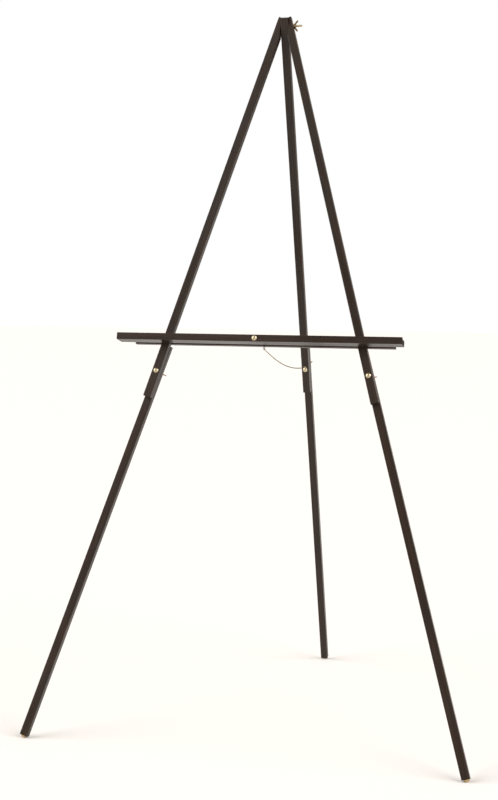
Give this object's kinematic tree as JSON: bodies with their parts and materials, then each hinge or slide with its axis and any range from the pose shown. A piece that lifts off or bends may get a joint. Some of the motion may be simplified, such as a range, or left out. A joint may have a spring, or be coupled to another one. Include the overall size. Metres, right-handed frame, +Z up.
{
  "type": "folding display easel",
  "caption": "Folding tripod display easel of slim stained sticks, with a clamped picture ledge, lapped bolted legs, wing nuts and a spread-limiting chain.",
  "frame": {"origin": "on the floor under the middle of the easel's footprint box", "axes": "+Z up; the picture side faces -Y, the rear leg stands towards +Y, and +X is to the right of someone looking at the picture"},
  "size_m": [0.9548, 0.8942, 1.5684],
  "materials": {
    "stained_wood": "dark walnut stain under satin lacquer",
    "brass": "bright brass plate",
    "glide_metal": "antique brass plate on steel",
    "chain_metal": "dulled brass plate on steel wire"
  },
  "bodies": {
    "front_frame": {"upper_leg_left": "stained_wood", "upper_leg_right": "stained_wood", "top_bolt": "brass", "top_washer": "brass", "lap_left_bolt": "brass", "lap_left_washer": "brass", "lap_right_bolt": "brass", "lap_right_washer": "brass"},
    "rear_leg": {"upper_leg_rear": "stained_wood", "lap_rear_bolt": "brass", "lap_rear_washer": "brass", "chain_tab": "brass", "chain_main_run": "chain_metal"},
    "lower_left": {"lower_leg_left": "stained_wood", "foot_glide_left": "glide_metal"},
    "lower_right": {"lower_leg_right": "stained_wood", "foot_glide_right": "glide_metal"},
    "lower_rear": {"lower_leg_rear": "stained_wood", "foot_glide_rear": "glide_metal"},
    "crossbar": {"front_rail": "stained_wood", "rear_clamp_bar": "stained_wood", "crossbar_bolt": "brass", "crossbar_washer": "brass", "chain_screw_eye": "brass", "chain_front_run": "chain_metal"},
    "top_nut": {"top_wing_nut": "brass"},
    "lap_left_nut": {"lap_left_wing_nut": "brass"},
    "lap_right_nut": {"lap_right_wing_nut": "brass"},
    "lap_rear_nut": {"lap_rear_wing_nut": "brass"},
    "crossbar_nut": {"crossbar_wing_nut": "brass"}
  },
  "joints": [
    {"name": "rear_leg_fold", "type": "hinge", "parent": "front_frame", "child": "rear_leg", "pos_m": [0, -0.1191, 1.54729], "axis": [1, 0, 0], "range_deg": [-27.5, 0], "deforming": ["chain_main_run"]},
    {"name": "crossbar_slide", "type": "slide", "parent": "front_frame", "child": "crossbar", "axis": [0, 0.2125, 0.9772], "range_m": [0, 0.075], "deforming": ["chain_front_run"]},
    {"name": "lower_leg_left_swing", "type": "hinge", "parent": "front_frame", "child": "lower_left", "pos_m": [-0.23268, -0.28486, 0.78514], "axis": [0, 0.9772, -0.2125], "range_deg": [0, 110]},
    {"name": "lower_leg_right_swing", "type": "hinge", "parent": "front_frame", "child": "lower_right", "pos_m": [0.23268, -0.28486, 0.78514], "axis": [0, -0.9772, 0.2125], "range_deg": [0, 110]},
    {"name": "lower_leg_rear_swing", "type": "hinge", "parent": "rear_leg", "child": "lower_rear", "pos_m": [0, 0.15072, 0.7825], "axis": [0, 0.943, 0.3327], "range_deg": [0, 180]},
    {"name": "top_nut_turn", "type": "hinge", "parent": "front_frame", "child": "top_nut", "pos_m": [0.01775, -0.1191, 1.54729], "axis": [1, 0, 0], "continuous": true},
    {"name": "lap_left_nut_turn", "type": "hinge", "parent": "front_frame", "child": "lap_left_nut", "pos_m": [-0.23268, -0.28486, 0.78514], "axis": [0, 0.9772, -0.2125], "continuous": true},
    {"name": "lap_right_nut_turn", "type": "hinge", "parent": "front_frame", "child": "lap_right_nut", "pos_m": [0.23268, -0.28486, 0.78514], "axis": [0, 0.9772, -0.2125], "continuous": true},
    {"name": "lap_rear_nut_turn", "type": "hinge", "parent": "rear_leg", "child": "lap_rear_nut", "pos_m": [0, 0.15072, 0.7825], "axis": [0, 0.943, 0.3327], "continuous": true},
    {"name": "crossbar_nut_turn", "type": "hinge", "parent": "crossbar", "child": "crossbar_nut", "pos_m": [-0.009, -0.25045, 0.84735], "axis": [0, 0.9772, -0.2125], "continuous": true}
  ]
}
